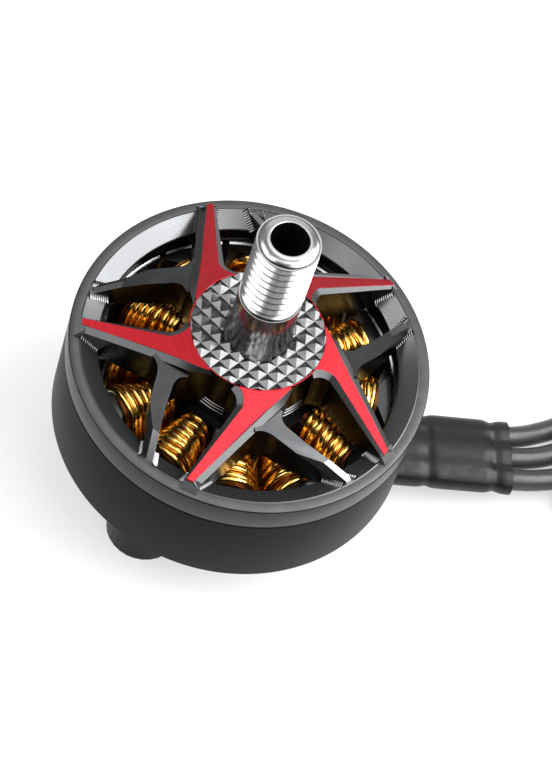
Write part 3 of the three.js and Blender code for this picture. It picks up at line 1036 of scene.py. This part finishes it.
def add_shaft():
    """The hollow shaft: a journal, a collar, a smooth foot and an M5 thread with a rounded end."""
    top = SHAFT_TOP - SHAFT_ROUNDING
    collar_bottom = SEAT_TOP - RECESS_DEPTH + 0.03
    foot_top = THREAD_LOW - 0.3
    core_r = THREAD_R - 0.5
    arc_steps = 6
    foot = 1
    bm = bmesh.new()
    add_thread(bm, top)
    rounding = [
        (SHAFT_FLAT_R + (THREAD_R - SHAFT_FLAT_R) * math.cos(a), top + SHAFT_ROUNDING * math.sin(a))
        for a in (math.pi / 2 * k / arc_steps for k in range(arc_steps + 1))
    ]
    lathe(bm, softened([
        (BORE_R, SHAFT_BOTTOM), (JOURNAL_R, SHAFT_BOTTOM), (JOURNAL_R, HUB_BOTTOM), (THREAD_R, HUB_BOTTOM),
        (THREAD_R, collar_bottom), (COLLAR_R, collar_bottom), (2.76, SEAT_TOP - 0.1), (2.6, SEAT_TOP + 0.7),
        (THREAD_R, SEAT_TOP + 1.5), (THREAD_R, foot_top), (THREAD_R - 0.16, THREAD_LOW - 0.1),
        (core_r, THREAD_LOW + 0.05), (core_r, top - 0.1), *rounding, (BORE_R, SHAFT_TOP - 0.05),
    ], 0.05, 2), 128)
    for face in bm.faces:
        if face.calc_center_median().z < foot_top:
            face.material_index = foot
    piece("shaft_body", bm, "rotor", [STEEL, FOOT], ["shaft"], sharp=38)


add_shaft()


# ---- Coils ----
random.seed(7)
COIL_WIRE_R = 0.27
COIL_PITCH = 0.57
COIL_INNER_R = 5.98
COIL_OUTER_R = 10.84
COIL_GAP = 0.08  # between a coil and the plane halfway to the next
COIL_MIDDLE = (COIL_TOP + COIL_BOTTOM) / 2
COIL_TALL = (COIL_TOP - COIL_BOTTOM) / 2 - COIL_WIRE_R


def coil_half_width(r):
    return r * math.tan(math.pi / TOOTH_COUNT) - COIL_GAP - COIL_WIRE_R


def coil_point(r, turn_angle, width, height, lean=0.0):
    """A point of a turn: a rounded box round the tooth, which leans outwards on one side."""
    c, s = math.cos(turn_angle), math.sin(turn_angle)
    t = width * math.copysign(abs(c) ** 0.85, c)
    z = COIL_MIDDLE + height * math.copysign(abs(s) ** 0.8, s)
    return Vector((r + lean * t, t, z))


def add_coil(index):
    """One tooth's winding: a helix of enamelled wire over a solid core in darker copper, painted shade for
    the layers below it.
    """
    angle = TOOTH_PHASE + 360 / TOOTH_COUNT * index
    turns = int((COIL_OUTER_R - COIL_INNER_R - 2 * COIL_WIRE_R) / COIL_PITCH + 1)
    around = 40
    count = 2 * turns + 3
    wide_shift = [random.uniform(-0.08, 0.03) for _ in range(count)]
    tall_shift = [random.uniform(-0.16, 0) for _ in range(count)]
    along_shift = [random.uniform(-0.1, 0.1) for _ in range(count)]
    leans = [random.uniform(-0.18, 0.18) for _ in range(count)]

    def blend(values, position):
        """Eases from each value to the next, two to a turn."""
        whole = int(2 * position)
        share = smooth_step(2 * position - whole)
        return values[whole] * (1 - share) + values[whole + 1] * share

    path = []
    first_r, last_r = COIL_INNER_R + COIL_WIRE_R, COIL_OUTER_R - COIL_WIRE_R
    for k in range(turns * around + 1):
        position = k / around
        r = first_r + COIL_PITCH * position * (turns - 0.15) / turns
        r = min(max(r + blend(along_shift, position), first_r), last_r)
        width = coil_half_width(r) + blend(wide_shift, position)
        height = COIL_TALL + blend(tall_shift, position)
        turn_angle = -math.pi / 2 + 2 * math.pi * position
        path.append(coil_point(r, turn_angle, width, height, blend(leans, position)))
    bm = bmesh.new()
    tube(bm, turned(path, angle), COIL_WIRE_R, 10)
    # The solid core under the strands takes the dark copper: painted shade for the layers below.
    stations, sides, shaded_lower_layer = 6, 32, 1
    rings = []
    for k in range(stations + 1):
        r = COIL_INNER_R + 0.05 + (COIL_OUTER_R - COIL_INNER_R - 0.1) * k / stations
        rings.append([
            coil_point(r, 2 * math.pi * m / sides, coil_half_width(r) - 0.14, COIL_TALL - 0.2)
            for m in range(sides)
        ])
    loft(bm, [turned(ring, angle) for ring in rings], shaded_lower_layer)
    name = f"{index + 1:02d}"
    piece(
        f"winding_{name}", bm, "stator", [COPPER, COPPER_SHADE], [f"coil_{name}"],
        sharp=60,
    )


for i in range(TOOTH_COUNT):
    add_coil(i)


# ---- Magnets ----
def add_magnet(name):
    """A magnet with its inner top edge chamfered, and its flat top in black epoxy as painted shade."""
    points = [v.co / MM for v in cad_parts[name].data.vertices]
    middle = sum(points, Vector()).xy.normalized()
    centre = math.degrees(math.atan2(middle.y, middle.x))
    half = max(math.degrees(abs(middle.angle_signed(p.xy))) for p in points)
    inner, outer = (pick(p.xy.length for p in points) for pick in (min, max))
    low, high = low_corner(name).z, high_corner(name).z
    profile = softened([
        (inner, low), (outer, low), (outer, high), (inner + 0.22, high), (inner, high - 0.11),
    ], 0.04, 2)
    steps, shaded_top = 12, 1
    bm = bmesh.new()
    loft(bm, [
        [polar(r, centre - half + 2 * half * k / steps, z) for r, z in profile] for k in range(steps + 1)
    ])
    bmesh.ops.recalc_face_normals(bm, faces=bm.faces)
    # The flat top takes the black epoxy material: painted shade.
    for face in bm.faces:
        if face.normal.z > 0.95:
            face.material_index = shaded_top
    piece(name.replace("magnet", "magnet_body"), bm, "rotor", [NICKEL, EPOXY], [name])


for name in list(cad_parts):
    if name.startswith("magnet"):
        add_magnet(name)


# ---- CAD nodes that keep their shape ----
def finish_node(name, material, width):
    """Gives a CAD node its material, and shows its edges rounded by the given width."""
    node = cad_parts[name]
    node.data.materials.clear()
    node.data.materials.append(material)
    bevelled(node, width, 3)


finish_node("stator_core", EPOXY, 0.12)
finish_node("base", BASE, 0.25)
finish_node("shaft_screw", SCREW, 0.06)
finish_node("screw_washer", NICKEL, 0.04)
finish_node("bell_shim", SHIM, 0.04)
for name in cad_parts:
    if "bearing" in name:
        finish_node(name, BEARING, 0.05)


# ---- Studio ----
def add_floor():
    half = 1.5  # metres
    corners = [(-half, -half, 0), (half, -half, 0), (half, half, 0), (-half, half, 0)]
    data = bpy.data.meshes.new("floor")
    data.from_pydata(corners, [], [(0, 1, 2, 3)])
    floor = bpy.data.objects.new("floor", data)
    floor.location.z = -0.02 * MM
    bpy.context.scene.collection.objects.link(floor)
    shader = Shader(
        "floor_white", (0.42, 0.42, 0.42), 0.0, 0.7,
        Emission_Color=(1, 1, 1, 1), Emission_Strength=0.55,
    )
    data.materials.append(shader.vary_roughness(shader.grain(0.02), 0.05).material)


def add_softbox(name, place, aim, size, power):
    data = bpy.data.lights.new(name, "AREA")
    data.shape = "RECTANGLE"
    data.size, data.size_y = (s * MM for s in size)
    data.energy = power
    light = bpy.data.objects.new(name, data)
    light.location = Vector(place) * MM
    light.rotation_euler = (Vector(place) - Vector(aim)).to_track_quat("Z", "Y").to_euler()
    bpy.context.scene.collection.objects.link(light)


def direction(azimuth, elevation):
    return polar(math.cos(math.radians(elevation)), azimuth, math.sin(math.radians(elevation)))


# The room's own light: the sine of the elevation, and brightness.
ROOM = [(0.1, 0.1), (0.5, 0.2), (0.83, 0.22), (1.0, 0.2)]
ROOM_GAIN = 2.0
# The room's soft lights: azimuth, elevation, full radius and outer radius in degrees, and brightness.
PANELS = [
    (-62, 62, 15, 29, 3.2),
    (225, 65, 10, 21, 2.4),
    (159, 49, 8, 17, 3.2),
    (194, 44, 10, 22, 2.0),
    (312, 34, 8, 19, 1.8),
    (18, 27, 8, 17, 2.2),
    (64, 67, 8, 17, 2.1),
    (18, 56, 6, 14, 5.5),
    (76, 29, 13, 26, 0.75),
]
# Darker parts of the room, with the share of light each takes away: its unlit side and the camera stand.
DARK_CORNER = (246, 22, 30, 41, 0.9)
CAMERA_STAND = (254, 59, 15, 23, 0.85)


def add_world():
    world = bpy.data.worlds.new("studio")
    world.use_nodes = True
    tree = world.node_tree
    coords = tree.nodes.new("ShaderNodeTexCoord")
    parts = tree.nodes.new("ShaderNodeSeparateXYZ")
    ramp = tree.nodes.new("ShaderNodeValToRGB")
    tree.links.new(coords.outputs["Generated"], parts.inputs[0])
    tree.links.new(parts.outputs["Z"], ramp.inputs["Fac"])
    stops = ramp.color_ramp.elements
    stops[0].position, stops[1].position = ROOM[0][0], ROOM[-1][0]
    for position, _ in ROOM[1:-1]:
        stops.new(position)
    for stop, (_, level) in zip(stops, ROOM):
        stop.color = (level, level, level, 1)

    def math_node(operation, first, second):
        made = tree.nodes.new("ShaderNodeMath")
        made.operation = operation
        for socket, value in zip(made.inputs, (first, second)):
            if isinstance(value, bpy.types.NodeSocket):
                tree.links.new(value, socket)
            else:
                socket.default_value = value
        return made.outputs[0]

    def patch(azimuth, elevation, full, outer, level):
        """The given level inside a round patch of the sky, fading to nothing at its outer radius."""
        facing = tree.nodes.new("ShaderNodeVectorMath")
        facing.operation = "DOT_PRODUCT"
        tree.links.new(coords.outputs["Generated"], facing.inputs[0])
        facing.inputs[1].default_value = direction(azimuth, elevation)
        fade = tree.nodes.new("ShaderNodeMapRange")
        fade.interpolation_type = "SMOOTHSTEP"
        tree.links.new(facing.outputs["Value"], fade.inputs["Value"])
        fade.inputs["From Min"].default_value = math.cos(math.radians(outer))
        fade.inputs["From Max"].default_value = math.cos(math.radians(full))
        fade.inputs["To Max"].default_value = level
        return fade.outputs["Result"]

    light = math_node("MULTIPLY", ramp.outputs["Color"], ROOM_GAIN)
    light = math_node("MULTIPLY", light, math_node("SUBTRACT", 1.0, patch(*DARK_CORNER)))
    for panel in PANELS:
        light = math_node("ADD", light, patch(*panel))
    light = math_node("MULTIPLY", light, math_node("SUBTRACT", 1.0, patch(*CAMERA_STAND)))
    tree.links.new(light, tree.nodes["Background"].inputs["Strength"])
    tree.nodes["Background"].inputs["Color"].default_value = (1, 1, 1, 1)
    bpy.context.scene.world = world


add_floor()
add_world()
add_softbox("key", direction(-10, 44) * 600, (0, 0, 10), (490, 410), 4.2)
bpy.context.scene.view_settings.view_transform = "Standard"
